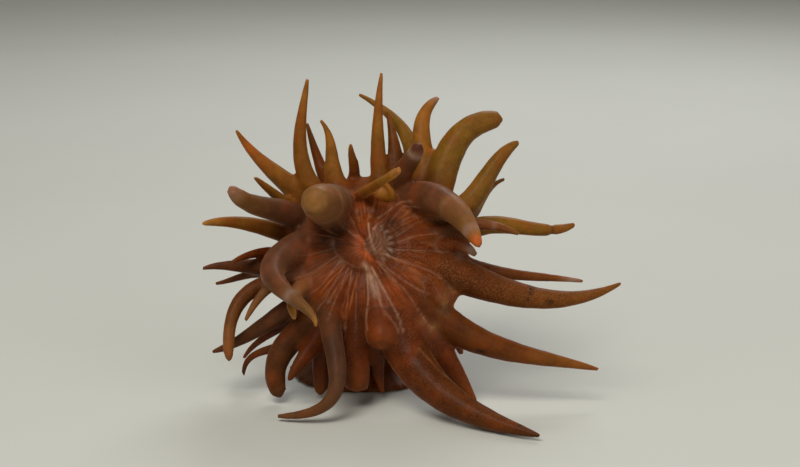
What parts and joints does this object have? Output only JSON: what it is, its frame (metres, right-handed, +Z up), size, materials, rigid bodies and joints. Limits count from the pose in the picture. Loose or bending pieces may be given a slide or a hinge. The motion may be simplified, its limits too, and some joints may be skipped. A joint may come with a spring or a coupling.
{
  "type": "sea anemone",
  "caption": "Life-size still model of a small brown sea anemone on its foot, crown of tapering tentacles open and tipped forward, lower ones resting on the ground.",
  "frame": {"origin": "centre of the sole of the pedal disc, where it meets the ground", "axes": "+Z up, the crown and mouth face -Y and tip upwards, +X to the right of someone who faces the mouth"},
  "size_m": [0.051, 0.0372, 0.0381],
  "materials": {
    "tentacle_flesh": "moist translucent orange-brown flesh, paler yellow at the tips, fine pale specks",
    "disc_flesh": "moist red-brown flesh with fine pale lines from mouth to rim",
    "lip_flesh": "moist orange-pink ridged flesh with grey-white folds",
    "column_flesh": "moist smooth brown flesh with faint lengthwise lines"
  },
  "bodies": {
    "root": {"column_lower": "column_flesh", "column_upper": "column_flesh", "crown": "disc_flesh", "foot": "column_flesh", "lips": "lip_flesh", "tentacle_01": "tentacle_flesh", "tentacle_02_far": "tentacle_flesh", "tentacle_02_near": "tentacle_flesh", "tentacle_03": "tentacle_flesh", "tentacle_04": "tentacle_flesh", "tentacle_05": "tentacle_flesh", "tentacle_06_far": "tentacle_flesh", "tentacle_06_near": "tentacle_flesh", "tentacle_07": "tentacle_flesh", "tentacle_08_far": "tentacle_flesh", "tentacle_08_near": "tentacle_flesh", "tentacle_09": "tentacle_flesh", "tentacle_10": "tentacle_flesh", "tentacle_11": "tentacle_flesh", "tentacle_12_far": "tentacle_flesh", "tentacle_12_near": "tentacle_flesh", "tentacle_14": "tentacle_flesh", "tentacle_15_far": "tentacle_flesh", "tentacle_15_near": "tentacle_flesh", "tentacle_17_far": "tentacle_flesh", "tentacle_17_near": "tentacle_flesh", "tentacle_19": "tentacle_flesh", "tentacle_20_far": "tentacle_flesh", "tentacle_20_near": "tentacle_flesh", "tentacle_22": "tentacle_flesh", "tentacle_23": "tentacle_flesh", "tentacle_25": "tentacle_flesh", "tentacle_26_far": "tentacle_flesh", "tentacle_26_near": "tentacle_flesh", "tentacle_27": "tentacle_flesh", "tentacle_28": "tentacle_flesh", "tentacle_29": "tentacle_flesh", "tentacle_30": "tentacle_flesh", "tentacle_31": "tentacle_flesh", "tentacle_32": "tentacle_flesh", "tentacle_33": "tentacle_flesh", "tentacle_34": "tentacle_flesh", "tentacle_35": "tentacle_flesh", "tentacle_36": "tentacle_flesh", "tentacle_37": "tentacle_flesh", "tentacle_38_far": "tentacle_flesh", "tentacle_38_near": "tentacle_flesh", "tentacle_39": "tentacle_flesh", "tentacle_40": "tentacle_flesh", "tentacle_41": "tentacle_flesh", "tentacle_42": "tentacle_flesh", "tentacle_43_far": "tentacle_flesh", "tentacle_43_near": "tentacle_flesh", "tentacle_44": "tentacle_flesh", "tentacle_45": "tentacle_flesh", "tentacle_46": "tentacle_flesh", "tentacle_48": "tentacle_flesh"}
  },
  "joints": []
}
